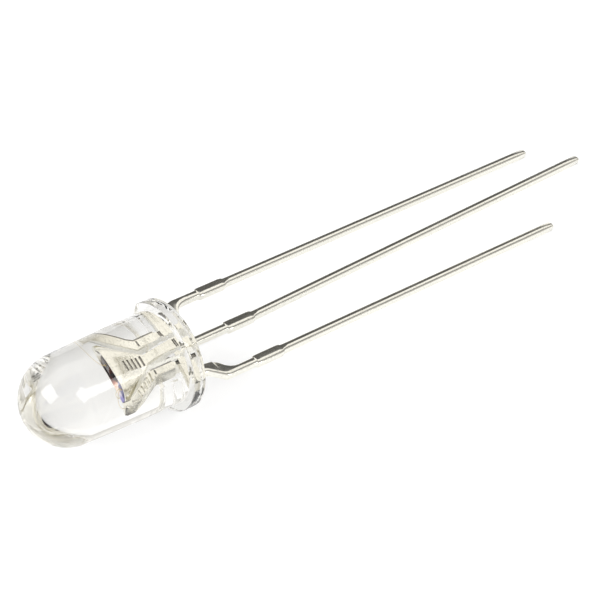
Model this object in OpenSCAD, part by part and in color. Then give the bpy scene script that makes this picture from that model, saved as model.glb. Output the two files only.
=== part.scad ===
// Clear round lamp with a flanged body, two light chips and three straight leads.
// Lies as it comes to rest on a table: on the rim of its flange and on the tips of the two outer leads.
// The leads run towards +X. The origin is on the axis of the lens, at the middle of its straight stretch.

/* [Lens] */
// diameter of the straight part of the lens
lens_d = 5; // [3:0.05:10]
// height of the straight part above the seating face
straight_h = 3; // [1:0.1:6]
// diameter at the foot of the dome, after the moulding draft
dome_d = 4.8; // [2.8:0.05:9.8]
// height of the dome's foot above the seating face
dome_foot_h = 6.35; // [3:0.05:12]
// flange diameter
flange_d = 5.92; // [3.4:0.02:12]
// flange thickness
flange_t = 0.7; // [0.4:0.05:2]
// rounding of the flange's edges
flange_round = 0.14; // [0.02:0.01:0.3]
// distance from the axis to the flat on the flange
flat_offset = 2.54; // [1.6:0.01:5.5]
// diameter of the shallow recess in the seating face
recess_d = 4.7; // [2.5:0.05:9]
// depth of the shallow recess
recess_depth = 0.08; // [0:0.01:0.3]

/* [Leads] */
// thickness of the sheet and width of each lead
lead_t = 0.45; // [0.3:0.01:0.8]
// spacing of the leads
pitch = 2.54; // [1.27:0.01:5.08]
// length of the lead beside the flat, from the seating face
flat_side_lead_l = 26.85; // [5:0.05:40]
// length of the middle lead, from the seating face
middle_lead_l = 28.86; // [5:0.02:40]
// length of the far outer lead, from the seating face
far_side_lead_l = 24.45; // [5:0.05:40]
// sideways drift of the middle lead's tip
middle_drift = -0.375; // [-1:0.005:1]
// lift of the middle lead's tip out of the plane of the sheet
middle_lift = 0.6; // [-1.5:0.01:1.5]
// chamfer on the tip of a lead
tip_chamfer = 0.09; // [0.02:0.01:0.2]
// distance from the seating face to the middle of a tie bar stub
stub_at = 4.39; // [2.5:0.01:10]
// length of a tie bar stub along the lead
stub_l = 1.8; // [0.5:0.05:3]
// how far a stub stands out on each side
stub_out = 0.09; // [0.02:0.01:0.4]
// where an outer lead leaves the seating face, from the axis
lead_exit = 1.82; // [1:0.01:2.4]
// distance from the seating face to the start of the jog's outer edge
jog_from = 0.86; // [0.3:0.01:2]
// distance from the seating face to the end of the jog's outer edge
jog_to = 1.62; // [0.5:0.01:3]

/* [Posts inside the lens] */
// height of the post tops above the seating face
post_h = 4.25; // [2.5:0.05:8]
// width of each post's neck
neck_w = 0.36; // [0.2:0.01:0.8]
// distance from the axis to the middle of an outer neck
neck_pitch = 0.61; // [0.4:0.01:1.5]
// height of the foot that joins an outer neck to its lead
foot_h = 0.44; // [0.3:0.01:1.5]
// height of the anchor nicks at the foot of an outer neck
nick_h = 0.26; // [0.1:0.01:0.6]
// depth of the anchor nicks
nick_depth = 0.09; // [0.01:0.01:0.15]
// height where the necks end and the heads spread
spread_from = 2; // [1:0.05:4]
// height where the outer heads stop spreading
spread_to = 3.7; // [1.5:0.05:6]
// outer edge of an outer head, from the axis
head_out = 1.8; // [1:0.01:4]
// gap between the middle head and an outer head
head_gap = 0.17; // [0.08:0.01:0.5]

/* [Reflector cup] */
// width of the cup's head across the leads
cup_head_w = 2.3; // [1:0.02:4]
// thickness of the cup's head at its rim
cup_head_t = 1.1; // [0.6:0.02:3]
// height of the cup's rim above the seating face
cup_rim_h = 4; // [2:0.01:8]
// height of the straight band below the rim
cup_band = 0.2; // [0.05:0.01:1]
// height where the sheet starts to thicken into the cup's head
cup_head_from = 2.5; // [1.5:0.05:6]
// depth of the cup
cup_depth = 0.34; // [0.1:0.01:1]
// length of the cup's mouth across the leads
cup_mouth_l = 2.04; // [0.6:0.02:3.6]
// width of the cup's mouth
cup_mouth_w = 0.88; // [0.3:0.02:2.6]
// narrowing of the cup from mouth to floor, each side
cup_wall_in = 0.12; // [0.02:0.01:0.5]

/* [Grooves] */
// number of grooves pressed across the front of a head
groove_count = 5; // [0:1:8]
// spacing of the grooves
groove_pitch = 0.24; // [0.12:0.01:0.6]
// width of a groove
groove_w = 0.11; // [0.04:0.01:0.3]
// depth of a groove
groove_depth = 0.07; // [0.01:0.01:0.15]
// height of the lowest groove above the seating face
groove_from = 2.24; // [1:0.01:5]

/* [Chips and wires] */
// side of the red chip
red_die_w = 0.44; // [0.15:0.01:0.6]
// height of the red chip
red_die_h = 0.3; // [0.08:0.01:0.4]
// side of the blue chip
blue_die_w = 0.4; // [0.15:0.01:0.6]
// height of the blue chip
blue_die_h = 0.26; // [0.05:0.01:0.4]
// distance from the axis to the middle of each chip
die_offset = 0.5; // [0.2:0.01:0.8]
// thickness of the paste under a chip
paste_t = 0.025; // [0.01:0.005:0.08]
// how far the paste shows around a chip
paste_out = 0.03; // [0:0.01:0.15]
// diameter of a bonding wire
wire_d = 0.035; // [0.02:0.005:0.08]
// diameter of the ball at the start of a wire
ball_d = 0.1; // [0.05:0.01:0.2]
// height of the ball
ball_h = 0.03; // [0.01:0.005:0.08]
// rise of a wire's loop above the straight line between its ends
loop_rise = 0.3; // [0.1:0.01:0.8]

/* [Hidden] */
$fn = 96;
eps = 0.01;
lens_r = lens_d / 2;
dome_r = dome_d / 2;
flange_r = flange_d / 2;
barrel_mid = (flange_t + straight_h) / 2;
half_t = lead_t / 2;
half_neck = neck_w / 2;
lean_from = stub_at + stub_l / 2;
leg_run = middle_lead_l - lean_from;
lift_angle = atan2(middle_lift, leg_run);
neck_in = neck_pitch - half_neck;
neck_out = neck_pitch + half_neck;
exit_in = lead_exit - 0.2;
exit_out = lead_exit + 0.22;
foot_low = 0.08;
slope_in = 0.45;
cup_half = cup_head_w / 2;
inner_in = cup_half + head_gap;
band_from = cup_rim_h - cup_band;
nick_from = foot_h + 0.05;
nick_to = nick_from + nick_h;
wedge_half = cup_half - 0.1;
wedge_rise = band_from - spread_from;
flare_half = half_neck + (wedge_half - half_neck) * (cup_head_from - spread_from) / wedge_rise;
flare_slope = (cup_head_t / 2 - half_t) / (band_from - cup_head_from);
head_bottom_out = neck_out + 0.12;
cup_floor_h = cup_rim_h - cup_depth;
die_base_h = cup_floor_h + paste_t;
red_top_h = die_base_h + red_die_h;
blue_top_h = die_base_h + blue_die_h;
blue_pad = 0.09;
outer_landing = (inner_in + head_out) / 2;
rim_landing_v = (cup_mouth_w + cup_head_t) / 4;
wire_steps = 14;
wire_sides = 6;

// Rest on the table: slope of the support plane through both outer tips, then its tilt by repeated substitution.
tip_slope = (flat_side_lead_l - far_side_lead_l) / (-2 * pitch);
tip_edge = -pitch + half_t - tip_chamfer;
function tilt_sine(m, left) = left == 0 ? m : tilt_sine(
    (
        (flange_r - flange_round) * sqrt(1 - m * m) + flange_round - flange_round * m
        - half_t * sqrt(1 - (1 + tip_slope * tip_slope) * m * m)
    ) / (flat_side_lead_l - tip_slope * tip_edge),
    left - 1
);
rest_sine = tilt_sine(0.1, 12);
roll_part = -tip_slope * rest_sine;
rest_tilt = asin(rest_sine);
rest_roll = atan2(-roll_part, -sqrt(1 - rest_sine * rest_sine - roll_part * roll_part)) + 180;

// Turns a shape from its own axes, across the leads, out of the sheet and towards the dome, to the rest position.
module at_rest() {
    rotate([0, rest_tilt, 0])
        rotate([rest_roll, 0, 0])
            rotate([90, 0, -90])
                translate([0, 0, -barrel_mid])
                    children();
}

// A plate of the sheet, drawn across the leads and along the axis, centred on the plane of the leads.
module sheet(thickness = lead_t) {
    rotate([90, 0, 0])
        translate([0, 0, -thickness / 2])
            linear_extrude(height = thickness)
                children();
}

module lens_body() {
    rotate_extrude() {
        polygon([
            [0, 0],
            [lens_r - flange_round, 0],
            [lens_r, flange_round],
            [lens_r, straight_h],
            [dome_r, dome_foot_h],
            [0, dome_foot_h]
        ]);
        translate([0, dome_foot_h])
            intersection() {
                circle(r = dome_r);
                translate([0, -eps])
                    square([dome_r, dome_r + 2 * eps]);
            }
    }
    difference() {
        rotate_extrude() {
            square([flange_r - flange_round, flange_t]);
            translate([0, flange_round])
                square([flange_r, flange_t - 2 * flange_round]);
            translate([flange_r - flange_round, flange_round])
                circle(r = flange_round);
            translate([flange_r - flange_round, flange_t - flange_round])
                circle(r = flange_round);
        }
        translate([-flange_d - flat_offset, -flange_d, -flange_t])
            cube([flange_d, 2 * flange_d, 3 * flange_t]);
    }
}

// Outline points of a tie bar stub on the edge of a lead at a distance across, read downwards.
function stub_points(across, side) = [
    [across, -stub_at + stub_l / 2],
    [across + side * stub_out, -stub_at + stub_l / 2 - 1.6 * stub_out],
    [across + side * stub_out, -stub_at - stub_l / 2 + 1.6 * stub_out],
    [across, -stub_at - stub_l / 2]
];

function upwards(points) = [for (i = [len(points) - 1 : -1 : 0]) points[i]];

// Outline of an outer lead with its post, on the +u side.
module outer_outline(length) {
    polygon(concat(
        [
            [pitch - half_t, -length + tip_chamfer],
            [pitch - half_t + tip_chamfer, -length],
            [pitch + half_t - tip_chamfer, -length],
            [pitch + half_t, -length + tip_chamfer]
        ],
        upwards(stub_points(pitch + half_t, 1)),
        [
            [pitch + half_t, -jog_to],
            [exit_out, -jog_from],
            [exit_out, foot_h - 0.1],
            [exit_out - 0.1, foot_h],
            [neck_out - nick_depth, foot_h],
            [neck_out - nick_depth, nick_to],
            [neck_out, nick_to + 0.06],
            [neck_out, spread_from],
            [head_bottom_out, spread_from + 0.3],
            [head_out, spread_to],
            [head_out, post_h - 0.12],
            [head_out - 0.12, post_h],
            [inner_in, post_h],
            [inner_in, band_from],
            [neck_in, spread_from + 0.1],
            [neck_in, nick_to + 0.06],
            [neck_in + nick_depth, nick_to],
            [neck_in + nick_depth, nick_from],
            [neck_in, nick_from - 0.06],
            [neck_in, foot_low + 0.1],
            [neck_in + 0.1, foot_low],
            [exit_in, foot_low - 0.06],
            [exit_in, -jog_from - 0.4],
            [exit_in + 0.12, -jog_from - 0.75],
            [pitch - half_t, -jog_to - slope_in]
        ],
        stub_points(pitch - half_t, -1)
    ));
}

// Grooves across the front face, which slopes outwards by flare from the height cup_head_from up.
module grooves(middle, width, flare) {
    for (i = [0 : groove_count - 1])
        let (height = groove_from + i * groove_pitch)
            translate([
                middle + 0.55 * i * groove_pitch * sign(middle),
                half_t + flare * max(0, height - cup_head_from),
                height
            ])
                cube([width, 2 * groove_depth, groove_w], center = true);
}

module outer_lead(length, marked) {
    difference() {
        sheet()
            outer_outline(length);
        if (marked)
            grooves(neck_pitch + 0.14, 0.46, 0);
        translate([neck_in + 0.18, half_t, spread_from - 0.1])
            cube([0.2, 2 * groove_depth, 0.09], center = true);
    }
}

module flat_side_lead_shape() {
    mirror([1, 0, 0])
        outer_lead(flat_side_lead_l, false);
}

module far_side_lead_shape() {
    outer_lead(far_side_lead_l, true);
}

module middle_upper_outline() {
    polygon(concat(
        upwards(stub_points(half_t, 1)),
        [
            [half_t, 0.2],
            [half_neck, 0.45],
            [half_neck, spread_from],
            [wedge_half, band_from],
            [-wedge_half, band_from],
            [-half_neck, spread_from],
            [-half_neck, 0.45],
            [-half_t, 0.2]
        ],
        stub_points(-half_t, -1)
    ));
}

module middle_leg_outline() {
    polygon([
        [-half_t, 0],
        [middle_drift - half_t, -leg_run + tip_chamfer],
        [middle_drift - half_t + tip_chamfer, -leg_run],
        [middle_drift + half_t - tip_chamfer, -leg_run],
        [middle_drift + half_t, -leg_run + tip_chamfer],
        [half_t, 0],
        [half_t, eps],
        [-half_t, eps]
    ]);
}

// Head that flares from the sheet to the rim of the cup, with a straight band below the rim.
module cup_head() {
    hull() {
        translate([0, 0, cup_head_from])
            cube([2 * flare_half - 0.06, lead_t - eps, eps], center = true);
        for (side = [-1, 1])
            translate([side * (cup_half - cup_head_t / 2), 0, band_from])
                cylinder(d = cup_head_t, h = cup_band, $fn = 32);
    }
}

module cup_hollow() {
    reach = cup_mouth_l / 2 - cup_mouth_w / 2;
    hull()
        for (side = [-1, 1])
            translate([side * reach, 0, cup_floor_h])
                cylinder(
                    r1 = cup_mouth_w / 2 - cup_wall_in,
                    r2 = cup_mouth_w / 2 + cup_wall_in * eps / cup_depth,
                    h = cup_depth + eps,
                    $fn = 32
                );
}

module middle_lead_shape() {
    difference() {
        union() {
            sheet()
                middle_upper_outline();
            translate([0, 0, -lean_from])
                rotate([lift_angle, 0, 0])
                    sheet()
                        middle_leg_outline();
            cup_head();
        }
        cup_hollow();
        grooves(0, 0.42, flare_slope);
    }
}

// Tube along a list of [across, height] points in the plane at depth v, its ends level.
module tube(path, radius) {
    count = len(path);
    ring = wire_sides;
    points = [
        for (i = [0 : count - 1])
            let (
                before = path[max(i - 1, 0)],
                after = path[min(i + 1, count - 1)],
                end = i == 0 || i == count - 1,
                run = end ? 0 : after[0] - before[0],
                rise = end ? (i == 0 ? 1 : -1) : after[1] - before[1],
                size = sqrt(run * run + rise * rise)
            )
            for (j = [0 : ring - 1])
                let (turn = 360 * j / ring)
                [
                    path[i][0] + radius * cos(turn) * rise / size,
                    radius * sin(turn),
                    path[i][1] - radius * cos(turn) * run / size
                ]
    ];
    sides = [
        for (i = [0 : count - 2])
            for (j = [0 : ring - 1])
                let (
                    a = i * ring + j,
                    b = i * ring + (j + 1) % ring
                )
                for (pick = [0, 1])
                    pick == 0 ? [a, a + ring, b] : [b, a + ring, b + ring]
    ];
    first = [for (j = [0 : ring - 1]) j];
    last = [for (j = [ring - 1 : -1 : 0]) (count - 1) * ring + j];
    polyhedron(points = points, faces = concat([first, last], sides));
}

// Wire with its ball, from a start height to an end height, span apart along x.
module bond_wire(span, start_h, end_h, rise) {
    low = start_h + ball_h;
    path = [
        for (i = [0 : wire_steps])
            let (
                turn = 180 * i / wire_steps,
                share = (1 - cos(turn)) / 2
            )
            [
                span * share,
                low + (end_h - low) * share + rise * sin(turn)
            ]
    ];
    tube(path, wire_d / 2);
    translate([0, 0, start_h])
        cylinder(d = ball_d, h = ball_h, $fn = 12);
}

module red_wire_shape() {
    translate([-die_offset, 0, 0])
        rotate([0, 0, 180])
            bond_wire(outer_landing - die_offset, red_top_h, post_h, loop_rise);
}

module blue_wire_shape() {
    translate([die_offset + blue_pad, blue_pad, 0])
        bond_wire(outer_landing - die_offset - blue_pad, blue_top_h, post_h, loop_rise);
}

module blue_return_wire_shape() {
    translate([die_offset - blue_pad, -blue_pad, 0])
        rotate([0, 0, -90])
            bond_wire(rim_landing_v - blue_pad, blue_top_h, cup_rim_h, 0.7 * loop_rise);
}

module chip(at, width, height) {
    translate([at - width / 2, -width / 2, die_base_h])
        cube([width, width, height]);
}

module paste(at, width) {
    translate([at - width / 2 - paste_out, -width / 2 - paste_out, cup_floor_h])
        cube([width + 2 * paste_out, width + 2 * paste_out, paste_t]);
}

// Short pin through faces that touch, so that the clear body's hollow runs on from one piece to the next.
module passage(across, v, low, high) {
    translate([across, v, low - eps])
        cylinder(r = wire_d / 4, h = high - low + 2 * eps, $fn = 12);
}

module passages() {
    passage(-die_offset, 0, cup_floor_h, red_top_h + ball_h);
    passage(die_offset + blue_pad, blue_pad, cup_floor_h, blue_top_h + ball_h);
    passage(die_offset - blue_pad, -blue_pad, cup_floor_h, blue_top_h + ball_h);
    passage(-outer_landing, 0, post_h, post_h);
    passage(outer_landing, blue_pad, post_h, post_h);
    passage(die_offset - blue_pad, -rim_landing_v, cup_rim_h, cup_rim_h);
}

// Everything that the clear body is cast around.
module embedded() {
    passages();
    flat_side_lead_shape();
    middle_lead_shape();
    far_side_lead_shape();
    chip(-die_offset, red_die_w, red_die_h);
    chip(die_offset, blue_die_w, blue_die_h);
    paste(-die_offset, red_die_w);
    paste(die_offset, blue_die_w);
    red_wire_shape();
    blue_wire_shape();
    blue_return_wire_shape();
}

module lens() {
    color([0.9, 0.91, 0.89, 0.35])
        at_rest()
            difference() {
                lens_body();
                translate([0, 0, -eps])
                    cylinder(d = recess_d, h = recess_depth + eps);
                embedded();
            }
}

module flat_side_lead() {
    color([0.8, 0.78, 0.72])
        at_rest()
            flat_side_lead_shape();
}

module middle_lead() {
    color([0.8, 0.78, 0.72])
        at_rest()
            middle_lead_shape();
}

module far_side_lead() {
    color([0.8, 0.78, 0.72])
        at_rest()
            far_side_lead_shape();
}

module red_die() {
    color([0.36, 0.07, 0.05])
        at_rest()
            chip(-die_offset, red_die_w, red_die_h);
}

module blue_die() {
    color([0.33, 0.34, 0.62])
        at_rest()
            chip(die_offset, blue_die_w, blue_die_h);
}

module red_paste() {
    color([0.66, 0.64, 0.6])
        at_rest()
            paste(-die_offset, red_die_w);
}

module blue_paste() {
    color([0.86, 0.84, 0.8])
        at_rest()
            paste(die_offset, blue_die_w);
}

module red_wire() {
    color([0.85, 0.66, 0.3])
        at_rest()
            red_wire_shape();
}

module blue_wire() {
    color([0.85, 0.66, 0.3])
        at_rest()
            blue_wire_shape();
}

module blue_return_wire() {
    color([0.85, 0.66, 0.3])
        at_rest()
            blue_return_wire_shape();
}

lens();
flat_side_lead();
middle_lead();
far_side_lead();
red_die();
blue_die();
red_paste();
blue_paste();
red_wire();
blue_wire();
blue_return_wire();
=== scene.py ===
import math

import bmesh
import bpy
from mathutils import Euler, Matrix, Vector


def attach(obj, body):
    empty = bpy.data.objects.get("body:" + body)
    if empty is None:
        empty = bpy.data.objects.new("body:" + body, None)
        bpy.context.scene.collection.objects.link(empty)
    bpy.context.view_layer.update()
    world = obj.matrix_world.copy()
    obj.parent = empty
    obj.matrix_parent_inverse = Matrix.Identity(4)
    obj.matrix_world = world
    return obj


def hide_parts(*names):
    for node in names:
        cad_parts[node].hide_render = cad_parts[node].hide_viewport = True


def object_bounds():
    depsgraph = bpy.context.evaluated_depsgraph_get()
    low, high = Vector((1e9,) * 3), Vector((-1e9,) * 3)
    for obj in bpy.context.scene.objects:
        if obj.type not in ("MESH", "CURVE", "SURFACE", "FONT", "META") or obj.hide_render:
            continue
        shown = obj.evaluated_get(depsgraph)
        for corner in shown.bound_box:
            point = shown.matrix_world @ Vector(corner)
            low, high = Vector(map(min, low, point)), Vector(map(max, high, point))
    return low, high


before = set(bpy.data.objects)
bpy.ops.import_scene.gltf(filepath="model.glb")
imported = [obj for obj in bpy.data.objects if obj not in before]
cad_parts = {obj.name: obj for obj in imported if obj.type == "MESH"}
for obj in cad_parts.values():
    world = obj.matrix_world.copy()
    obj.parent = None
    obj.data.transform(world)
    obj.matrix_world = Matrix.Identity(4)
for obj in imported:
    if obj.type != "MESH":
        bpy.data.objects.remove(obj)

cadLow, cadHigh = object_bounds()
scene = bpy.context.scene
mm = 0.001
mergeWithin = 0.001  # for the copied solids, in the lamp's mm
print("stage: frame loaded,", len(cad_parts), "solids")

# How the lamp lies. Its own axes are u across the leads, v out of their plane and w towards the dome,
# counted in mm from the middle of the seating face.
rest = {"tiltDeg": 6.0410331, "rollDeg": 2.8658493, "seatToOrigin": 1.85}

lampTurn = (
    Matrix.Rotation(math.radians(rest["tiltDeg"]), 4, "Y")
    @ Matrix.Rotation(math.radians(rest["rollDeg"]), 4, "X")
    @ Matrix.Rotation(-math.pi / 2, 4, "Z")
    @ Matrix.Rotation(math.pi / 2, 4, "X")
)
lampPlace = lampTurn @ Matrix.Translation((0, 0, -rest["seatToOrigin"] * mm)) @ Matrix.Scale(mm, 4)
lampInverse = lampPlace.inverted()

# The camera
shot = {
    "place": (-0.045656, -0.058293, 0.091983),
    "turnDeg": (40.5391, -5.2711, -37.6909),
    "lens": 141.312,
    "sensor": 36.0,
    "nearest": 0.002,
    "farthest": 20,
}
# Enough bounces for the many walls that light meets in the clear body
bounces = {"max_bounces": 32, "glossy_bounces": 16, "transmission_bounces": 24}


def placeCamera():
    data = bpy.data.cameras.new("camera")
    data.lens = shot["lens"]
    data.sensor_width = shot["sensor"]
    data.clip_start = shot["nearest"]
    data.clip_end = shot["farthest"]
    cam = bpy.data.objects.new("camera", data)
    cam.location = shot["place"]
    cam.rotation_euler = Euler([math.radians(a) for a in shot["turnDeg"]], "XYZ")
    scene.collection.objects.link(cam)
    scene.camera = cam


placeCamera()
scene.view_settings.view_transform = "Standard"
for setting, count in bounces.items():
    setattr(scene.cycles, setting, count)
print("stage: camera placed")


# Shader helpers
def newMaterial(name):
    mat = bpy.data.materials.new(name)
    mat.use_nodes = True
    tree = mat.node_tree
    shader = tree.nodes["Principled BSDF"]
    return mat, tree, shader


def addNode(tree, kind, **values):
    node = tree.nodes.new(kind)
    for key, value in values.items():
        setattr(node, key, value)
    return node


def setSpan(node, side, span):
    node.inputs[side + " Min"].default_value = span[0]
    node.inputs[side + " Max"].default_value = span[1]


# Fine drawn grain along the leads with small dull specks: one group, used by the plating
# and by its copy that carries painted shade
grainLook = {
    "streakDetail": 4,
    "streakRoughness": 0.6,
    "streakShare": 0.35,
    "speckDetail": 3,
    "speckWindow": (0.54, 0.7),
    "blotchScale": 420,
    "blotchDetail": 3,
    "blotchWindow": (0.3, 0.7),
}


def makeGrainGroup():
    group = bpy.data.node_groups.new("drawnGrain", "ShaderNodeTree")
    face = group.interface
    for name, kind in (
        ("Vector", "NodeSocketVector"),
        ("Length scale", "NodeSocketFloat"),
        ("Cross scale", "NodeSocketFloat"),
        ("Speck scale", "NodeSocketFloat"),
        ("Speck amount", "NodeSocketFloat"),
        ("Bright", "NodeSocketColor"),
        ("Dull", "NodeSocketColor"),
        ("Smooth", "NodeSocketFloat"),
        ("Rough", "NodeSocketFloat"),
    ):
        face.new_socket(name=name, in_out="INPUT", socket_type=kind)
    face.new_socket(name="Color", in_out="OUTPUT", socket_type="NodeSocketColor")
    face.new_socket(name="Roughness", in_out="OUTPUT", socket_type="NodeSocketFloat")
    face.new_socket(name="Height", in_out="OUTPUT", socket_type="NodeSocketFloat")
    feed = addNode(group, "NodeGroupInput")
    out = addNode(group, "NodeGroupOutput")
    link = group.links.new
    stretch = addNode(group, "ShaderNodeCombineXYZ")
    stretched = addNode(group, "ShaderNodeVectorMath", operation="MULTIPLY")
    link(feed.outputs["Length scale"], stretch.inputs[0])
    link(feed.outputs["Cross scale"], stretch.inputs[1])
    link(feed.outputs["Cross scale"], stretch.inputs[2])
    link(feed.outputs["Vector"], stretched.inputs[0])
    link(stretch.outputs[0], stretched.inputs[1])
    streaks = addNode(group, "ShaderNodeTexNoise")
    streaks.inputs["Scale"].default_value = 1
    streaks.inputs["Detail"].default_value = grainLook["streakDetail"]
    streaks.inputs["Roughness"].default_value = grainLook["streakRoughness"]
    link(stretched.outputs[0], streaks.inputs["Vector"])
    specks = addNode(group, "ShaderNodeTexNoise")
    specks.inputs["Detail"].default_value = grainLook["speckDetail"]
    link(feed.outputs["Vector"], specks.inputs["Vector"])
    link(feed.outputs["Speck scale"], specks.inputs["Scale"])
    blotches = addNode(group, "ShaderNodeTexNoise")
    blotches.inputs["Scale"].default_value = grainLook["blotchScale"]
    blotches.inputs["Detail"].default_value = grainLook["blotchDetail"]
    link(feed.outputs["Vector"], blotches.inputs["Vector"])
    pick = addNode(group, "ShaderNodeMapRange")
    setSpan(pick, "From", grainLook["speckWindow"])
    link(specks.outputs["Fac"], pick.inputs["Value"])
    amount = addNode(group, "ShaderNodeMath", operation="MULTIPLY")
    link(pick.outputs["Result"], amount.inputs[0])
    link(feed.outputs["Speck amount"], amount.inputs[1])
    mask = addNode(group, "ShaderNodeMath", operation="MULTIPLY_ADD", use_clamp=True)
    mask.inputs[1].default_value = grainLook["streakShare"]
    link(streaks.outputs["Fac"], mask.inputs[0])
    link(amount.outputs[0], mask.inputs[2])
    tint = addNode(group, "ShaderNodeMix", data_type="RGBA")
    link(mask.outputs[0], tint.inputs["Factor"])
    link(feed.outputs["Bright"], tint.inputs["A"])
    link(feed.outputs["Dull"], tint.inputs["B"])
    link(tint.outputs["Result"], out.inputs["Color"])
    polish = addNode(group, "ShaderNodeMapRange")
    setSpan(polish, "From", grainLook["blotchWindow"])
    link(blotches.outputs["Fac"], polish.inputs["Value"])
    link(feed.outputs["Smooth"], polish.inputs["To Min"])
    link(feed.outputs["Rough"], polish.inputs["To Max"])
    link(polish.outputs["Result"], out.inputs["Roughness"])
    high = addNode(group, "ShaderNodeMath", operation="ADD")
    link(streaks.outputs["Fac"], high.inputs[0])
    link(amount.outputs[0], high.inputs[1])
    link(high.outputs[0], out.inputs["Height"])
    return group


grainGroup = makeGrainGroup()

plating = {
    "bright": (0.95, 0.935, 0.87, 1),
    "dull": (0.56, 0.54, 0.46, 1),
    "smooth": 0.1,
    "rough": 0.24,
    "lengthScale": 300,
    "crossScale": 4000,
    "speckScale": 13000,
    "speckAmount": 0.5,
    "bump": 0.3,
    "depth": 0.000004,
}
pressed = {"bright": (0.26, 0.245, 0.22, 1), "dull": (0.08, 0.075, 0.065, 1)}  # painted shade for the pressed marks and the edge lines


def makePlating(name, colours):
    mat, tree, shader = newMaterial(name)
    link = tree.links.new
    where = addNode(tree, "ShaderNodeTexCoord")
    turn = addNode(tree, "ShaderNodeMapping")
    turn.inputs["Rotation"].default_value = (0, math.radians(-rest["tiltDeg"]), 0)
    drawn = addNode(tree, "ShaderNodeGroup", node_tree=grainGroup)
    for socket, value in (
        ("Length scale", plating["lengthScale"]),
        ("Cross scale", plating["crossScale"]),
        ("Speck scale", plating["speckScale"]),
        ("Speck amount", plating["speckAmount"]),
        ("Bright", colours["bright"]),
        ("Dull", colours["dull"]),
        ("Smooth", plating["smooth"]),
        ("Rough", plating["rough"]),
    ):
        drawn.inputs[socket].default_value = value
    relief = addNode(tree, "ShaderNodeBump")
    relief.inputs["Strength"].default_value = plating["bump"]
    relief.inputs["Distance"].default_value = plating["depth"]
    link(where.outputs["Object"], turn.inputs["Vector"])
    link(turn.outputs["Vector"], drawn.inputs["Vector"])
    link(drawn.outputs["Color"], shader.inputs["Base Color"])
    link(drawn.outputs["Roughness"], shader.inputs["Roughness"])
    link(drawn.outputs["Height"], relief.inputs["Height"])
    link(relief.outputs["Normal"], shader.inputs["Normal"])
    shader.inputs["Metallic"].default_value = 1
    return mat


epoxy = {
    "tint": (0.955, 0.95, 0.93, 1),
    "ior": 1.52,
    "roughness": 0.0,
    "waveScale": 500,
    "waveDetail": 1,
    "waveStrength": 0.02,
    "waveDepth": 0.00001,
}


def makeEpoxy():
    mat, tree, shader = newMaterial("clearEpoxy")
    link = tree.links.new
    shader.inputs["Base Color"].default_value = epoxy["tint"]
    shader.inputs["Transmission Weight"].default_value = 1
    shader.inputs["Roughness"].default_value = epoxy["roughness"]
    shader.inputs["IOR"].default_value = epoxy["ior"]
    where = addNode(tree, "ShaderNodeTexCoord")
    ripple = addNode(tree, "ShaderNodeTexNoise")
    ripple.inputs["Scale"].default_value = epoxy["waveScale"]
    ripple.inputs["Detail"].default_value = epoxy["waveDetail"]
    relief = addNode(tree, "ShaderNodeBump")
    relief.inputs["Strength"].default_value = epoxy["waveStrength"]
    relief.inputs["Distance"].default_value = epoxy["waveDepth"]
    link(where.outputs["Object"], ripple.inputs["Vector"])
    link(ripple.outputs["Fac"], relief.inputs["Height"])
    link(relief.outputs["Normal"], shader.inputs["Normal"])
    return mat


chipLook = {
    "red": ((0.008, 0.004, 0.004, 1), (0.09, 0.012, 0.006, 1)),
    "blue": ((0.1, 0.1, 0.28, 1), (0.35, 0.33, 0.75, 1)),
    "cloudScale": 5000,
    "roughness": 0.15,
    "ior": 1.9,
}


def makeChip(name):
    mat, tree, shader = newMaterial(name + "Crystal")
    link = tree.links.new
    where = addNode(tree, "ShaderNodeTexCoord")
    cloud = addNode(tree, "ShaderNodeTexNoise")
    cloud.inputs["Scale"].default_value = chipLook["cloudScale"]
    mix = addNode(tree, "ShaderNodeMix", data_type="RGBA")
    mix.inputs["A"].default_value, mix.inputs["B"].default_value = chipLook[name]
    link(where.outputs["Object"], cloud.inputs["Vector"])
    link(cloud.outputs["Fac"], mix.inputs["Factor"])
    link(mix.outputs["Result"], shader.inputs["Base Color"])
    shader.inputs["Roughness"].default_value = chipLook["roughness"]
    shader.inputs["IOR"].default_value = chipLook["ior"]
    return mat


pasteLook = {
    "red": (0.62, 0.6, 0.56, 1),
    "blue": (0.8, 0.78, 0.72, 1),
    "flakeScale": 20000,
    "flakeDark": 0.6,
    "roughness": 0.55,
}


def makePaste(name):
    mat, tree, shader = newMaterial(name + "Paste")
    link = tree.links.new
    where = addNode(tree, "ShaderNodeTexCoord")
    flakes = addNode(tree, "ShaderNodeTexNoise")
    flakes.inputs["Scale"].default_value = pasteLook["flakeScale"]
    dark = addNode(tree, "ShaderNodeMapRange")
    dark.inputs["To Min"].default_value = pasteLook["flakeDark"]
    mix = addNode(tree, "ShaderNodeMix", data_type="RGBA", blend_type="MULTIPLY")
    mix.inputs["Factor"].default_value = 1
    mix.inputs["A"].default_value = pasteLook[name]
    link(where.outputs["Object"], flakes.inputs["Vector"])
    link(flakes.outputs["Fac"], dark.inputs["Value"])
    link(dark.outputs["Result"], mix.inputs["B"])
    link(mix.outputs["Result"], shader.inputs["Base Color"])
    shader.inputs["Roughness"].default_value = pasteLook["roughness"]
    return mat


gold = {"colour": (0.85, 0.7, 0.42, 1), "drawScale": 8000, "roughness": (0.15, 0.35)}


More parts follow.
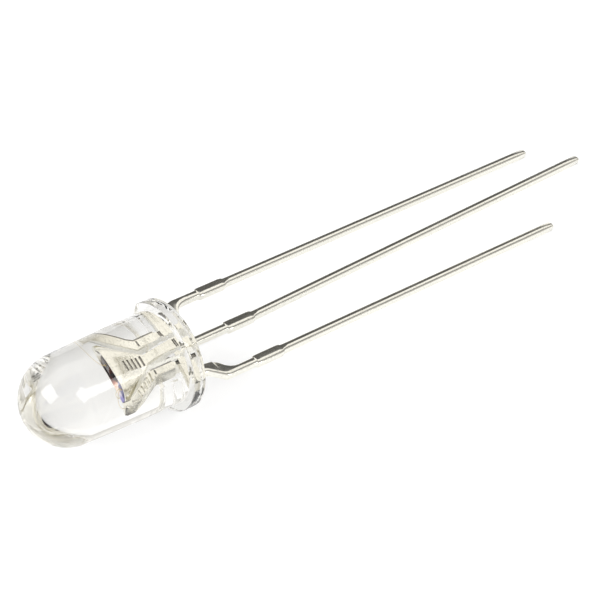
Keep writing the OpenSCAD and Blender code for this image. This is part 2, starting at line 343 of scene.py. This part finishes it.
def makeGold():
    mat, tree, shader = newMaterial("goldWire")
    link = tree.links.new
    where = addNode(tree, "ShaderNodeTexCoord")
    draw = addNode(tree, "ShaderNodeTexNoise")
    draw.inputs["Scale"].default_value = gold["drawScale"]
    rough = addNode(tree, "ShaderNodeMapRange")
    setSpan(rough, "To", gold["roughness"])
    link(where.outputs["Object"], draw.inputs["Vector"])
    link(draw.outputs["Fac"], rough.inputs["Value"])
    link(rough.outputs["Result"], shader.inputs["Roughness"])
    shader.inputs["Base Color"].default_value = gold["colour"]
    shader.inputs["Metallic"].default_value = 1
    return mat


# The lower half of the cup's polished wall, with a painted reflection of the chips in its colour: distance
# across the leads in mm, and colour
cupRoughness = 0.12
cupReflectionColours = [
    (-0.9, (0.9, 0.88, 0.83, 1)),
    (-0.74, (0.3, 0.27, 0.27, 1)),
    (-0.66, (0.012, 0.008, 0.01, 1)),
    (-0.36, (0.012, 0.006, 0.008, 1)),
    (-0.2, (0.1, 0.02, 0.018, 1)),
    (-0.1, (0.42, 0.17, 0.12, 1)),
    (0.02, (0.9, 0.68, 0.6, 1)),
    (0.2, (0.92, 0.86, 0.82, 1)),
    (0.4, (0.6, 0.58, 0.7, 1)),
    (0.52, (0.3, 0.28, 0.58, 1)),
    (0.85, (0.3, 0.28, 0.58, 1)),
    (0.95, (0.9, 0.88, 0.83, 1)),
]


def fillRamp(ramp, rows):
    points = ramp.color_ramp.elements
    for i, (at, colour) in enumerate(rows):
        spot = points[i] if i < 2 else points.new(at)
        spot.position = at
        spot.color = colour


def makeCupPaintedReflection():
    mat, tree, shader = newMaterial("cupPaintedReflection")
    link = tree.links.new
    where = addNode(tree, "ShaderNodeTexCoord")
    across = addNode(tree, "ShaderNodeVectorMath", operation="DOT_PRODUCT")
    across.inputs[1].default_value = lampTurn.to_3x3().col[0]
    low, high = cupReflectionColours[0][0], cupReflectionColours[-1][0]
    share = addNode(tree, "ShaderNodeMapRange")
    setSpan(share, "From", (low * mm, high * mm))
    ramp = addNode(tree, "ShaderNodeValToRGB")
    fillRamp(ramp, [((at - low) / (high - low), colour) for at, colour in cupReflectionColours])
    link(where.outputs["Object"], across.inputs[0])
    link(across.outputs["Value"], share.inputs["Value"])
    link(share.outputs["Result"], ramp.inputs["Fac"])
    link(ramp.outputs["Color"], shader.inputs["Base Color"])
    shader.inputs["Metallic"].default_value = 1
    shader.inputs["Roughness"].default_value = cupRoughness
    return mat


platedSheet = makePlating("platedSheet", plating)
# painted shade for the pressed marks and the edge lines, over the same grain
paintedShadeMark = makePlating("paintedShadeMark", pressed)
# painted reflection of the chips on the cup's wall
cupPaintedReflection = makeCupPaintedReflection()
clearEpoxy = makeEpoxy()
goldWire = makeGold()
print("stage: materials made")


# Mesh helpers
def linkPiece(bm, name, material, sharpDeg):
    mesh = bpy.data.meshes.new(name)
    bm.to_mesh(mesh)
    bm.free()
    mesh.materials.append(material)
    mesh.polygons.foreach_set("use_smooth", [True] * len(mesh.polygons))
    mesh.set_sharp_from_angle(angle=math.radians(sharpDeg))
    piece = bpy.data.objects.new(name, mesh)
    scene.collection.objects.link(piece)
    return piece


def copySolid(node):
    bm = bmesh.new()
    bm.from_mesh(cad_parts[node].data)
    bmesh.ops.transform(bm, matrix=lampInverse, verts=bm.verts)
    bmesh.ops.remove_doubles(bm, verts=bm.verts, dist=mergeWithin)
    return bm


def cutAway(bm, place, facing):
    cut = bmesh.ops.bisect_plane(
        bm,
        geom=list(bm.verts) + list(bm.edges) + list(bm.faces),
        plane_co=place,
        plane_no=facing,
        clear_outer=True,
    )
    rim = [e for e in cut["geom_cut"] if isinstance(e, bmesh.types.BMEdge)]
    bmesh.ops.holes_fill(bm, edges=rim)


def roundEdges(bm, edges, radius, segments):
    bmesh.ops.bevel(
        bm, geom=edges, offset=radius, offset_type="OFFSET", segments=segments,
        profile=0.5, affect="EDGES", clamp_overlap=True, material=-1,
    )


# The clear body: half outline spun round, flat cut on the flange, rims rounded
bodyShape = {
    "barrelD": 5.0,
    "straightH": 3.0,
    "domeD": 4.79,
    "domeFootH": 6.35,
    "flangeD": 5.9,
    "flangeT": 0.7,
    "flangeRound": 0.14,
    "footFillet": 0.05,
    "flatOffset": 2.54,
    "recessD": 4.7,
    "recessDepth": 0.08,
    "recessLip": 0.1,
    "turns": 192,
    "domeSteps": 48,
    "spinMerge": 0.0005,
    "rimDeg": 50,
    "rimSlack": 0.02,
    "levelSlack": 0.001,
    "sharpDeg": 38,
}


def makeBody():
    s = bodyShape
    bm = bmesh.new()
    corners = [
        (0, 0, s["recessDepth"]),
        (s["recessD"] / 2 - s["recessLip"], 0, s["recessDepth"]),
        (s["recessD"] / 2, 0, 0),
        (s["flangeD"] / 2, 0, 0),
        (s["flangeD"] / 2, 0, s["flangeT"]),
        (s["barrelD"] / 2, 0, s["flangeT"]),
        (s["barrelD"] / 2, 0, s["straightH"]),
        (s["domeD"] / 2, 0, s["domeFootH"]),
    ]
    chain = [bm.verts.new(c) for c in corners]
    for a, b in zip(chain, chain[1:]):
        bm.edges.new((a, b))
    bmesh.ops.spin(
        bm,
        geom=[chain[-1]],
        cent=(0, 0, s["domeFootH"]),
        axis=(0, -1, 0),
        angle=math.pi / 2,
        steps=s["domeSteps"],
    )
    bmesh.ops.spin(
        bm,
        geom=list(bm.verts) + list(bm.edges),
        cent=(0, 0, 0),
        axis=(0, 0, 1),
        angle=2 * math.pi,
        steps=s["turns"],
        use_merge=True,
    )
    bmesh.ops.remove_doubles(bm, verts=bm.verts, dist=s["spinMerge"])
    cutAway(bm, (-s["flatOffset"], 0, 0), (-1, 0, 0))
    bmesh.ops.recalc_face_normals(bm, faces=bm.faces)
    rims = []
    foot = []
    for e in bm.edges:
        if len(e.link_faces) == 2 and e.calc_face_angle(0) > math.radians(s["rimDeg"]):
            out = min(math.hypot(v.co.x, v.co.y) for v in e.verts)
            if out > s["barrelD"] / 2 + s["rimSlack"]:
                rims.append(e)
            elif abs(e.verts[0].co.z - s["flangeT"]) < s["levelSlack"]:
                foot.append(e)
    roundEdges(bm, rims, s["flangeRound"], 5)
    roundEdges(bm, [e for e in foot if e.is_valid], s["footFillet"], 3)
    bmesh.ops.transform(bm, matrix=lampPlace, verts=bm.verts)
    bmesh.ops.recalc_face_normals(bm, faces=bm.faces)
    return linkPiece(bm, "clear_body", clearEpoxy, s["sharpDeg"])


clearBody = makeBody()
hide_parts("lens")
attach(clearBody, "root")
clearBody.visible_diffuse = False  # soft light reaches the floor through it, which keeps its shadow pale
print("stage: clear body made,", len(clearBody.data.polygons), "faces")

# The leads. Inside the body they are merged copies of their solids with softened edges. Below it each leg
# is swept from a profile whose faces roll over at both edges, as a pressed sheet's do.
leadShape = {
    "half": 0.225,
    "pitch": 2.54,
    "cutAt": 0.05,
    "softEdge": 0.02,
    "softDeg": 35,
    "softLength": 0.08,
    "flattenDeg": 1.0,
    "sharpDeg": 30,
    "crest": 0.235,
    "jogCrestFromRight": 0.24,
    "rollSlope": 0.21,
    "creaseSlope": 0.155,
    "legSteps": 24,
    "tip": [(0.08, 0.0), (0.02, 0.14), (0, 0.3)],  # distance before the end, and how much the section shrinks
}

# Each lead: the side it is on, its length below the seating face, how far it drifts and lifts on its way
# down, and its pits pressed into the front face (across from, across to, height from, height to).
# Pressed marks get painted shade up to marksTo; flare is the slope at which the cup's head comes forward.
leads = {
    "flat_side_lead": {
        "side": -1, "length": 26.85, "drift": 0, "lift": 0,
        "pits": [(-0.68, -0.445, 0.42, 0.6)], "marksTo": 2.05, "flare": 0,
    },
    "middle_lead": {
        "side": 0, "length": 28.85, "drift": -0.375, "lift": 0.6,
        "pits": [(-0.12, 0.17, 0.09, 0.17)], "marksTo": 3.5, "flare": 0.25,
    },
    "far_side_lead": {
        "side": 1, "length": 24.45, "drift": 0, "lift": 0,
        "pits": [(0.48, 0.75, 0.44, 0.64)], "marksTo": 2.05, "flare": 0,
    },
}

# The sheet's edges in section: distance in from the left or right edge, and drop below the face
sheetEdge = {
    "left": [(0, 0.15), (0.004, 0.115), (0.02, 0.09), (0.05, 0.076)],
    "right": [(0.105, 0.001), (0.045, 0.02), (0.02, 0.034), (0.004, 0.06), (0, 0.09)],
    "rightRoom": 0.12,
    "rollFrom": 0.08,
    "rollDrop": 0.071,
    "crestBlend": (0.03, 0.005),
}

# The stub left by the tie bar: distance past its upper or lower end, how far each edge stands out there,
# and how far the crest lies from the left edge
stub = {
    "from": 3.49,
    "to": 5.29,
    "upper": [
        (-0.3, 0, 0.235),
        (-0.04, 0, 0.265),
        (0, 0.005, 0.1),
        (0.03, 0.05, 0.1),
        (0.07, 0.085, 0.4),
        (0.3, 0.09, 0.4),
    ],
    "lower": [
        (-0.3, 0.09, 0.4),
        (-0.1, 0.07, 0.46),
        (-0.02, 0.01, 0.335),
        (0.12, 0, 0.295),
        (0.3, 0, 0.235),
    ],
}

# An outer lead's jog: level below the seating face, inner and outer edge, and whether a bend mark crosses it
jog = [
    (-0.05, 1.62, 2.04, False),
    (0.5, 1.52, 2.04, False),
    (0.8, 1.47, 2.04, False),
    (0.95, 1.46, 2.1, False),
    (1.2, 1.46, 2.33, False),
    (1.41, 1.48, 2.53, False),
    (1.45, 1.49, 2.56, True),
    (1.49, 1.51, 2.59, False),
    (1.6, 1.57, 2.69, False),
    (1.72, 1.65, 2.75, False),
    (1.82, 1.79, 2.765, False),
    (1.89, 1.95, 2.765, False),
    (2.0, 2.09, 2.765, False),
    (2.15, 2.2, 2.765, False),
    (2.35, 2.28, 2.765, False),
    (2.6, 2.315, 2.765, False),
]


def topProfile(width, crest, roll):
    s = sheetEdge
    crest = min(crest, width - s["rightRoom"])
    more = max(0.0, roll * (crest - s["rollFrom"]) - s["rollDrop"])
    blend, blendDrop = s["crestBlend"]
    left = [(d, drop + more) for d, drop in s["left"]] + [(crest - blend, blendDrop), (crest, 0)]
    return left + [(width - d, drop) for d, drop in s["right"]]


def addRing(bm, left, right, v, crest, shrink, roll):
    half = leadShape["half"]
    width = math.hypot(right[0] - left[0], right[1] - left[1])
    top = topProfile(width, crest, roll)
    loop = [(d, half - drop) for d, drop in top] + [(d, drop - half) for d, drop in reversed(top)]
    ring = []
    for d, height in loop:
        share = (d / width - 0.5) * (1 - shrink) + 0.5
        u = left[0] + (right[0] - left[0]) * share
        w = left[1] + (right[1] - left[1]) * share
        ring.append(bm.verts.new((u, v + height * (1 - shrink), w)))
    return ring


def sweepLeg(bm, stations):
    rings = [addRing(bm, *station) for station in stations]
    for a, b in zip(rings, rings[1:]):
        for i in range(len(a)):
            j = (i + 1) % len(a)
            bm.faces.new((a[i], a[j], b[j], b[i]))
    bm.faces.new(rings[0][::-1])
    bm.faces.new(rings[-1])


def legStations(lead):
    s = leadShape
    length = lead["length"]
    centre = lead["side"] * s["pitch"]
    stations = []

    def add(below, out, crest, shrink=0.0):
        share = max(0.0, below - stub["to"]) / (length - stub["to"])
        u = centre + lead["drift"] * share
        left = (u - s["half"] - out, -below)
        right = (u + s["half"] + out, -below)
        stations.append((left, right, lead["lift"] * share, crest, shrink, 0.0))

    if lead["side"]:
        for below, inner, outer, creased in jog:
            left, right = sorted((lead["side"] * inner, lead["side"] * outer))
            crest = right - left - s["jogCrestFromRight"]
            roll = s["creaseSlope"] if creased else s["rollSlope"]
            stations.append(((left, -below), (right, -below), 0, crest, 0.0, roll))
    else:
        add(-s["cutAt"], 0, s["crest"])
    for past, out, crest in stub["upper"]:
        add(stub["from"] + past, out, crest)
    for past, out, crest in stub["lower"]:
        add(stub["to"] + past, out, crest)
    start = stub["to"] + stub["lower"][-1][0]
    stop = length - s["tip"][0][0]
    for i in range(1, s["legSteps"]):
        add(start + (stop - start) * i / s["legSteps"], 0, s["crest"])
    for before, shrink in s["tip"]:
        add(length - before, 0, s["crest"], shrink)
    return stations


# Finding and marking faces: how squarely a face looks forward or up, and how near it lies to a plane
faceTest = {
    "forward": 0.99,
    "squareForward": 0.995,
    "level": 0.9,
    "sideways": 0.5,
    "edgeOn": 0.1,
    "near": 0.01,
}


def frontFaces(bm, above=0.0):
    found = []
    for f in bm.faces:
        at = f.calc_center_median()
        isFront = f.normal.y > faceTest["forward"] and abs(at.y - leadShape["half"]) < faceTest["near"]
        if isFront and at.z > above:
            found.append(f)
    return found


def cutFaces(bm, faces, place, facing, slack=0.0):
    edges = list(dict.fromkeys(e for f in faces for e in f.edges))
    corners = list(dict.fromkeys(v for e in edges for v in e.verts))
    bmesh.ops.bisect_plane(bm, geom=corners + edges + faces, dist=slack, plane_co=place, plane_no=facing)


pitShape = {"depth": 0.06, "wallIn": 0.015}


def pressPit(bm, box):
    left, right, low, high = box
    for u in (left, right):
        cutFaces(bm, frontFaces(bm), (u, 0, 0), (1, 0, 0))
    for w in (low, high):
        cutFaces(bm, frontFaces(bm), (0, 0, w), (0, 0, 1))
    inside = []
    for f in frontFaces(bm):
        at = f.calc_center_median()
        if left < at.x < right and low < at.z < high:
            inside.append(f)
    bmesh.ops.inset_region(
        bm, faces=inside, thickness=pitShape["wallIn"], depth=-pitShape["depth"], use_even_offset=True
    )
    print("stage: pit pressed in", len(inside), "faces")


# Painted shade in the pressed marks, which lie a little behind the front face; near the feet it covers all
# of a pit, its walls too
marks = {
    "behind": 0.02,
    "deepest": 0.1125,
    "flareFrom": 2.5,
    "reach": 1.7,
    "footTop": 1.0,
    "footDeepest": 0.13,
}


def paintShadeInMarks(bm, lead):
    m = marks
    for f in bm.faces:
        at = f.calc_center_median()
        front = leadShape["half"] + lead["flare"] * max(0.0, at.z - m["flareFrom"])
        isBehind = m["deepest"] < at.y < front - m["behind"]
        isNear = at.z < lead["marksTo"] and abs(at.x) < m["reach"]
        isFlat = f.normal.y > faceTest["squareForward"] or abs(f.normal.z) > faceTest["level"]
        isFoot = at.z < m["footTop"] and at.y > m["footDeepest"]
        if isBehind and isNear and (isFlat or isFoot):
            # painted shade on this face
            f.material_index = 1


# A thin line of painted shade along the edge of the front face, where the side that looks across the
# leads meets it
edgeLine = {"width": 0.05, "from": 0.7, "shortest": 0.2, "middle": 0.05, "slack": 0.0005, "over": 0.002}


def findSides(bm):
    sides = []
    for f in bm.faces:
        at = f.calc_center_median()
        levels = [v.co.z for v in f.verts]
        isSide = f.normal.x < -faceTest["sideways"] and abs(f.normal.y) < faceTest["edgeOn"]
        isInside = abs(at.y) < edgeLine["middle"] and at.z > edgeLine["from"]
        if isSide and isInside and max(levels) - min(levels) > edgeLine["shortest"]:
            sides.append((at.copy(), f.normal.copy(), min(levels), max(levels)))
    return sides


def shadeEdge(bm):
    width = edgeLine["width"]
    up = Vector((0, 0, 1))
    sides = findSides(bm)
    for at, out, low, high in sides:
        for place, facing in ((at - out * width, out), (up * low, up), (up * high, up)):
            beside = []
            for f in frontFaces(bm, edgeLine["from"]):
                levels = [v.co.z for v in f.verts]
                if min(levels) < high + width and max(levels) > low - width:
                    beside.append(f)
            cutFaces(bm, beside, place, facing, edgeLine["slack"])
    bm.normal_update()
    for f in frontFaces(bm, edgeLine["from"]):
        level = f.calc_center_median().z
        for at, out, low, high in sides:
            depths = [(at - v.co).dot(out) for v in f.verts]
            isAlong = -edgeLine["over"] < min(depths) and max(depths) < width + edgeLine["over"]
            if isAlong and low < level < high:
                # painted shade along this edge
                f.material_index = 1


# The cup, as far as its wall carries the painted reflection: floor and rim levels, and the mouth's
# straight reach and end radius
cupInside = {"floor": 3.66, "rim": 4.0, "reach": 0.58, "radius": 0.43, "slack": 0.01, "lowerFrom": -0.05}


def paintCupReflection(bm):
    c = cupInside
    for f in bm.faces:
        at = f.calc_center_median()
        isDeep = c["floor"] - c["slack"] < at.z < c["rim"] - c["slack"]
        isInMouth = math.hypot(max(0.0, abs(at.x) - c["reach"]), at.y) < c["radius"]
        if isDeep and isInMouth and at.y < c["lowerFrom"] and f.normal.z < faceTest["level"]:
            # painted reflection of the chips on this part of the wall
            f.material_index = 2


def makeLead(node):
    s = leadShape
    lead = leads[node]
    hasCup = lead["side"] == 0
    bm = copySolid(node)
    cutAway(bm, (0, 0, s["cutAt"]), (0, 0, -1))
    bmesh.ops.dissolve_limit(bm, angle_limit=math.radians(s["flattenDeg"]), verts=bm.verts, edges=bm.edges)
    bmesh.ops.recalc_face_normals(bm, faces=bm.faces)
    for box in lead["pits"]:
        pressPit(bm, box)
    bm.normal_update()
    paintShadeInMarks(bm, lead)
    if hasCup:
        paintCupReflection(bm)
    edges = []
    for e in bm.edges:
        isSharp = len(e.link_faces) == 2 and e.calc_face_angle(0) > math.radians(s["softDeg"])
        if isSharp and e.calc_length() > s["softLength"]:
            edges.append(e)
    roundEdges(bm, edges, s["softEdge"], 3)
    bm.normal_update()
    if not hasCup:
        shadeEdge(bm)
    sweepLeg(bm, legStations(lead))
    bmesh.ops.transform(bm, matrix=lampPlace, verts=bm.verts)
    bmesh.ops.recalc_face_normals(bm, faces=bm.faces)
    piece = linkPiece(bm, node + "_plated", platedSheet, s["sharpDeg"])
    # slot 1 holds the painted shade, slot 2 the painted reflection in the cup
    piece.data.materials.append(paintedShadeMark)
    piece.data.materials.append(cupPaintedReflection)
    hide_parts(node)
    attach(piece, "root")
    return piece


for node in leads:
    plated = makeLead(node)
    print("stage:", node, "made,", len(plated.data.polygons), "faces")

# The chips and pastes keep their solids and get their finishes
finishes = {
    "red_die": makeChip("red"),
    "blue_die": makeChip("blue"),
    "red_paste": makePaste("red"),
    "blue_paste": makePaste("blue"),
}
for node, finish in finishes.items():
    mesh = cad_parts[node].data
    mesh.materials.clear()
    mesh.materials.append(finish)
print("stage: chips finished")

# The bonding wires, thinned from their solids to the real gauge
wires = {
    "nodes": ("red_wire", "blue_wire", "blue_return_wire"),
    "thinner": 0.0065,
    "sharpDeg": 60,
}


def makeWire(node):
    bm = copySolid(node)
    bmesh.ops.recalc_face_normals(bm, faces=bm.faces)
    bm.normal_update()
    shifted = [(v, v.co - v.normal * wires["thinner"]) for v in bm.verts]
    for v, place in shifted:
        v.co = place
    bmesh.ops.transform(bm, matrix=lampPlace, verts=bm.verts)
    piece = linkPiece(bm, node + "_fine", goldWire, wires["sharpDeg"])
    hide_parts(node)
    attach(piece, "root")


for node in wires["nodes"]:
    makeWire(node)
print("stage: wires thinned")

# The stage: pale floor, soft lamps, and a tent whose strips run along the leads. A ray that leaves through
# the clear body counts as both glossy and transmission, so it sees both of those shares of the floor's glow.
# On the camera's side, where the lamps light the floor most, the floor glows less through the body.
room = {
    "floorR": 0.6,
    "floorSides": 96,
    "floorGap": 0.00001,
    "floorColour": (0.7, 0.7, 0.7, 1),
    "floorGlow": {"Is Camera Ray": 0.46, "Is Glossy Ray": 0.42, "Is Transmission Ray": -0.03},
    "litToward": (-0.617, -0.787, 0),
    "litSpan": (0.001, 0.009),
    "litLess": 0.32,
    "worldTone": 0.58,
    "greenLeast": 0.7,
}


def makeFloor():
    mat = bpy.data.materials.new("paleFloor")
    mat.use_nodes = True
    tree = mat.node_tree
    tree.nodes.clear()
    link = tree.links.new
    out = addNode(tree, "ShaderNodeOutputMaterial")
    add = addNode(tree, "ShaderNodeAddShader")
    matte = addNode(tree, "ShaderNodeBsdfDiffuse")
    matte.inputs["Color"].default_value = room["floorColour"]
    glow = addNode(tree, "ShaderNodeEmission")
    path = addNode(tree, "ShaderNodeLightPath")
    where = addNode(tree, "ShaderNodeTexCoord")
    across = addNode(tree, "ShaderNodeVectorMath", operation="DOT_PRODUCT")
    across.inputs[1].default_value = room["litToward"]
    link(where.outputs["Object"], across.inputs[0])
    less = addNode(tree, "ShaderNodeMapRange", interpolation_type="SMOOTHSTEP")
    setSpan(less, "From", room["litSpan"])
    setSpan(less, "To", (0, -room["litLess"]))
    link(across.outputs["Value"], less.inputs["Value"])
    total = addNode(tree, "ShaderNodeMath", operation="MULTIPLY")
    link(path.outputs["Is Transmission Ray"], total.inputs[0])
    link(less.outputs["Result"], total.inputs[1])
    for ray, amount in room["floorGlow"].items():
        share = addNode(tree, "ShaderNodeMath", operation="MULTIPLY_ADD")
        share.inputs[1].default_value = amount
        link(path.outputs[ray], share.inputs[0])
        link(total.outputs[0], share.inputs[2])
        total = share
    link(total.outputs[0], glow.inputs["Strength"])
    link(matte.outputs[0], add.inputs[0])
    link(glow.outputs[0], add.inputs[1])
    link(add.outputs[0], out.inputs["Surface"])
    bm = bmesh.new()
    bmesh.ops.create_circle(bm, cap_ends=True, segments=room["floorSides"], radius=room["floorR"])
    bmesh.ops.translate(bm, verts=bm.verts, vec=(0, 0, cadLow.z - room["floorGap"]))
    mesh = bpy.data.meshes.new("floor")
    bm.to_mesh(mesh)
    bm.free()
    mesh.materials.append(mat)
    floor = bpy.data.objects.new("floor", mesh)
    scene.collection.objects.link(floor)


# Strips of the tent as the metal mirrors them: angle about the leads in degrees, tone, and warmth (1 is
# neutral). 0 is the far side's horizon, 90 is straight up and 180 is the near side's horizon.
strips = [
    (-180, 0.85, 0.95),
    (-30, 0.85, 0.95),
    (-8, 0.12, 0.95),
    (40, 0.12, 0.95),
    (49, 1.1, 0.95),
    (74, 1.1, 0.95),
    (84, 0.3, 0.95),
    (106, 0.3, 0.95),
    (116, 0.75, 0.95),
    (172, 0.75, 0.95),
    (180, 0.85, 0.95),
]
# The same tent as it shows through the clear body: bright overhead, with one brown strip on the near side
throughStrips = [
    (-180, 0.8, 0.93),
    (-30, 0.8, 0.93),
    (-14, 0.6, 0.93),
    (-2, 0.6, 0.93),
    (20, 1.08, 0.94),
    (36, 1.2, 0.93),
    (86, 1.2, 0.94),
    (96, 1.04, 0.91),
    (114, 1.0, 0.91),
    (125, 0.42, 0.76),
    (141, 0.42, 0.76),
    (152, 0.68, 0.88),
    (172, 0.68, 0.9),
    (180, 0.8, 0.93),
]


def stripRow(degrees, tone, warmth):
    green = room["greenLeast"] + (1 - room["greenLeast"]) * warmth
    return (degrees + 180) / 360, (tone, tone * green, tone * warmth, 1)


def makeWorld():
    world = bpy.data.worlds.new("studio")
    world.use_nodes = True
    scene.world = world
    tree = world.node_tree
    tree.nodes.clear()
    link = tree.links.new
    out = addNode(tree, "ShaderNodeOutputWorld")
    back = addNode(tree, "ShaderNodeBackground")
    path = addNode(tree, "ShaderNodeLightPath")
    where = addNode(tree, "ShaderNodeTexCoord")
    parts = addNode(tree, "ShaderNodeSeparateXYZ")
    angle = addNode(tree, "ShaderNodeMath", operation="ARCTAN2")
    share = addNode(tree, "ShaderNodeMapRange")
    setSpan(share, "From", (-math.pi, math.pi))
    link(where.outputs["Generated"], parts.inputs[0])
    link(parts.outputs["Z"], angle.inputs[0])
    link(parts.outputs["Y"], angle.inputs[1])
    link(angle.outputs[0], share.inputs["Value"])
    glossy = addNode(tree, "ShaderNodeMix", data_type="RGBA")
    through = addNode(tree, "ShaderNodeMix", data_type="RGBA")
    seen = addNode(tree, "ShaderNodeMix", data_type="RGBA")
    for mix, rows, ray in (
        (glossy, strips, "Is Glossy Ray"),
        (through, throughStrips, "Is Transmission Ray"),
    ):
        ramp = addNode(tree, "ShaderNodeValToRGB")
        fillRamp(ramp, [stripRow(*row) for row in rows])
        link(share.outputs["Result"], ramp.inputs["Fac"])
        link(ramp.outputs["Color"], mix.inputs["B"])
        link(path.outputs[ray], mix.inputs["Factor"])
    plain = room["worldTone"]
    glossy.inputs["A"].default_value = (plain, plain, plain, 1)
    seen.inputs["B"].default_value = (1, 1, 1, 1)
    link(path.outputs["Is Camera Ray"], seen.inputs["Factor"])
    link(glossy.outputs["Result"], through.inputs["A"])
    link(through.outputs["Result"], seen.inputs["A"])
    link(seen.outputs["Result"], back.inputs["Color"])
    link(back.outputs[0], out.inputs["Surface"])


lamps = {
    "nearSide": {"place": (0.09, -0.18, 0.2), "size": (0.12, 0.15), "power": 0.22},
    "noseSide": {"place": (-0.2, 0.03, 0.19), "size": (0.19, 0.14), "power": 0.4},
}


def makeLamps():
    for name, lamp in lamps.items():
        data = bpy.data.lights.new(name, "AREA")
        data.shape = "RECTANGLE"
        data.size, data.size_y = lamp["size"]
        data.energy = lamp["power"]
        light = bpy.data.objects.new(name, data)
        light.location = lamp["place"]
        light.rotation_euler = (-Vector(lamp["place"])).to_track_quat("-Z", "Y").to_euler()
        light.visible_transmission = False  # keeps its highlights off the metal inside the clear body
        scene.collection.objects.link(light)


makeFloor()
makeWorld()
makeLamps()
print("stage: floor, world and lamps made")
